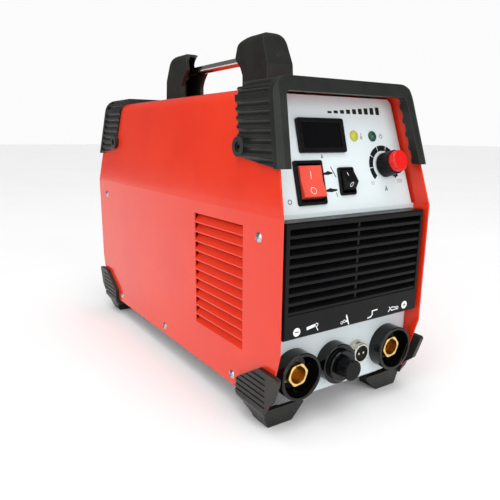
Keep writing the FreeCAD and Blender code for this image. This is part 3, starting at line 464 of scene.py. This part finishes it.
# rising level bars along the top of the panel
BAR_LEFT, BAR_FOOT = -7.5, 70.0
BAR_COUNT = 9
BAR_PITCH = 6.1
BAR_WIDTH = 3.9
BAR_LEAST = 1.6
BAR_RISE = 0.52
bars = []
for k in range(BAR_COUNT):
    left = BAR_LEFT + k * BAR_PITCH
    top = BAR_FOOT + BAR_LEAST + BAR_RISE * k
    bars.append(patch([(left, BAR_FOOT), (left + BAR_WIDTH, BAR_FOOT), (left + BAR_WIDTH, top),
                       (left, top)]))
film("level_bars", bars, PANEL, BLACK_INK)

# small plain signs by the power switch and the two lamps
film("off_sign", [ring(-52.6, 8.6, 1.5, 0.5)], PANEL, BLACK_INK)
film("heat_sign", [ring(22.3, 52.3, 0.9, 0.4),
                   line([(22.3, 53.3), (22.3, 55.8)], 0.4)], PANEL, BLACK_INK)
film("supply_sign", [stroke(arc(43.2, 53.5, 1.5, 125.0, 415.0), 0.4),
                     line([(43.2, 53.6), (43.2, 55.9)], 0.4)], PANEL, BLACK_INK)

# two process signs between the switches: a torch with its arc, and a torch with a lead
film("arc_sign", [patch([(-19.4, 26.0), (-15.5, 25.7), (-11.4, 26.5), (-10.6, 27.2), (-13.6, 28.0),
                         (-15.4, 28.7), (-16.6, 27.9), (-19.4, 27.4)]),
                  stroke([(-12.2, 31.6), (-10.6, 28.4), (-8.3, 23.8)], 0.65)], PANEL, BLACK_INK)
film("lead_sign", [patch([(-19.4, 13.8), (-14.0, 13.4), (-8.8, 14.2), (-8.6, 15.3), (-13.2, 15.8),
                          (-15.2, 16.5), (-17.0, 15.8), (-19.4, 15.2)]),
                   stroke([(-10.2, 12.9), (-9.6, 11.4), (-9.3, 9.6)], 0.55)], PANEL, BLACK_INK)

# signs on the strip under the grille
SIGN_DISC_R = 3.1
film("minus_disc", [disc(-55.5, 59.2, SIGN_DISC_R)], STRIP, WHITE_INK)
film("minus_bar", [line([(-57.2, 59.2), (-53.8, 59.2)], 0.7)], STRIP, BLACK_INK, lift=OVERPRINT)
film("plus_disc", [disc(52.6, 60.0, SIGN_DISC_R)], STRIP, WHITE_INK)
film("plus_bars", [patch([(50.9, 59.7), (52.3, 59.7), (52.3, 58.3), (52.9, 58.3), (52.9, 59.7),
                          (54.3, 59.7), (54.3, 60.3), (52.9, 60.3), (52.9, 61.7), (52.3, 61.7),
                          (52.3, 60.3), (50.9, 60.3)])], STRIP, BLACK_INK, lift=OVERPRINT)
film("torch_sign", [patch([(-46.8, 58.9), (-39.6, 60.0), (-39.6, 62.2), (-46.8, 61.1)]),
                    ring(-37.9, 61.2, 1.2, 0.5),
                    stroke([(-38.4, 60.0), (-36.4, 56.8)], 0.6)], STRIP, WHITE_INK)
film("electrode_sign", [ring(-13.9, 58.0, 1.0, 0.4),
                        ring(-11.4, 58.6, 1.0, 0.4),
                        patch([(-10.0, 63.4), (-9.1, 63.2), (-8.0, 60.0), (-6.4, 55.2), (-7.4, 55.4),
                               (-8.6, 58.0), (-10.1, 57.6), (-10.0, 58.6), (-9.0, 59.4),
                               (-9.9, 61.4)])], STRIP, WHITE_INK)
film("lead_bend", [stroke([(12.2, 56.4), (15.8, 56.9), (17.2, 58.4), (16.9, 61.3), (22.6, 61.6)], 0.9)],
     STRIP, WHITE_INK)
film("clamp_sign", [stroke([(34.6, 57.3), (38.2, 60.6), (44.8, 59.6)], 0.7),
                    stroke([(35.4, 61.2), (38.4, 57.9), (45.6, 58.4)], 0.7),
                    ring(44.6, 59.0, 1.2, 0.4)], STRIP, WHITE_INK)

# marks moulded in the rockers
film("power_on_mark", [line([(-34.0, 23.0), (-34.0, 28.2)], 0.45)], POWER_FACE, PALE_MARK)
film("power_off_mark", [ring(-34.6, 14.6, 2.3, 0.36)], POWER_FACE, PALE_MARK)
film("mode_on_mark", [line([(-0.4, 23.9), (-0.4, 26.4)], 0.45)], MODE_FACE, WHITE_INK)
film("mode_off_mark", [ring(0.9, 17.2, 1.25, 0.42)], MODE_FACE, WHITE_INK)


# ---- camera ----
CAMERA_AT = Vector((-0.2658, -0.4355, 0.2066))
YAW = math.radians(32.92)
PITCH = math.radians(-13.69)
ROLL = math.radians(0.37)
ahead = Vector((math.sin(YAW) * math.cos(PITCH), math.cos(YAW) * math.cos(PITCH), math.sin(PITCH)))
level = Vector((math.cos(YAW), -math.sin(YAW), 0.0))
above = level.cross(ahead)
right = level * math.cos(ROLL) + above * math.sin(ROLL)
up = above * math.cos(ROLL) - level * math.sin(ROLL)
camera_data = bpy.data.cameras.new("camera")
camera_data.lens = 37.09
camera_data.sensor_width = 36.0
camera_data.shift_x = 0.0158
camera_data.shift_y = 0.0234
camera_data.clip_start = 0.01
camera = bpy.data.objects.new("camera", camera_data)
turn = Matrix((right, up, -ahead)).transposed()
camera.matrix_world = Matrix.Translation(CAMERA_AT) @ turn.to_4x4()
bpy.context.scene.collection.objects.link(camera)
bpy.context.scene.camera = camera


# ---- floor and backdrop ----
def floor_material():
    f = Finish("studio_floor", shine=0.1)
    f.colour(f.mix(f.spread(f.noise(3.0, detail=2.0), WIDE), (0.86, 0.86, 0.86), (0.84, 0.84, 0.845)))
    f.rough(f.noise(20.0, detail=2.0), (0.75, 0.85))
    return f.mat


FLOOR_REACH = 12.0
corners = [(x * FLOOR_REACH, y * FLOOR_REACH, 0) for x, y in ((-1, -1), (1, -1), (1, 1), (-1, 1))]
floor_mesh = bpy.data.meshes.new("floor")
floor_mesh.from_pydata(corners, [], [(0, 1, 2, 3)])
floor = bpy.data.objects.new("floor", floor_mesh)
floor_mesh.materials.append(floor_material())
bpy.context.scene.collection.objects.link(floor)

# The backdrop is near white where it is seen, gives a softer even light, and is dimmer in reflections,
# as a studio's walls beyond the backdrop are.
BACKDROP = 0.97
FILL = 0.44
SHEEN_FILL = 0.16
world = bpy.data.worlds.new("studio")
world.use_nodes = True
sky = world.node_tree
background = sky.nodes["Background"]
background.inputs[0].default_value = (1.0, 1.0, 1.0, 1.0)
light_path = sky.nodes.new("ShaderNodeLightPath")
strength = None
for ray, value in (("Is Glossy Ray", SHEEN_FILL), ("Is Camera Ray", BACKDROP)):
    choose = sky.nodes.new("ShaderNodeMix")
    choose.inputs[2].default_value = FILL
    choose.inputs[3].default_value = value
    sky.links.new(light_path.outputs[ray], choose.inputs[0])
    if strength is not None:
        sky.links.new(strength, choose.inputs[2])
    strength = choose.outputs[0]
sky.links.new(strength, background.inputs["Strength"])
bpy.context.scene.world = world
bpy.context.scene.view_settings.view_transform = "Standard"


# ---- lights ----
def aimed(name, data, at, aim):
    light = bpy.data.objects.new(name, data)
    light.location = at
    light.rotation_euler = (Vector(aim) - Vector(at)).to_track_quat("-Z", "Y").to_euler()
    bpy.context.scene.collection.objects.link(light)


def soft_light(name, at, aim, size, power):
    """Softbox facing a point of the object."""
    data = bpy.data.lights.new(name, "AREA")
    data.shape = "RECTANGLE"
    data.size, data.size_y = size
    data.energy = power
    aimed(name, data, at, aim)


def wide_light(name, at, aim, power, spread):
    """Even light over the whole floor from one side, with soft shadows."""
    data = bpy.data.lights.new(name, "SUN")
    data.energy = power
    data.angle = math.radians(spread)
    aimed(name, data, at, aim)


wide_light("sky_panel", (-0.2, -0.3, 1.5), (0, 0, 0), 1.75, 60.0)
wide_light("left_wall", (-1.3, -1.0, 0.7), (0, 0, 0.1), 0.75, 50.0)
soft_light("top_softbox", (-0.1, -0.1, 1.5), (0, 0, 0.1), (1.2, 1.4), 2.0)
soft_light("left_softbox", (-1.4, -0.5, 0.9), (0, 0, 0.12), (0.7, 1.1), 4.0)
soft_light("front_softbox", (0.2, -1.5, 0.6), (0, 0, 0.12), (0.9, 0.9), 7.5)
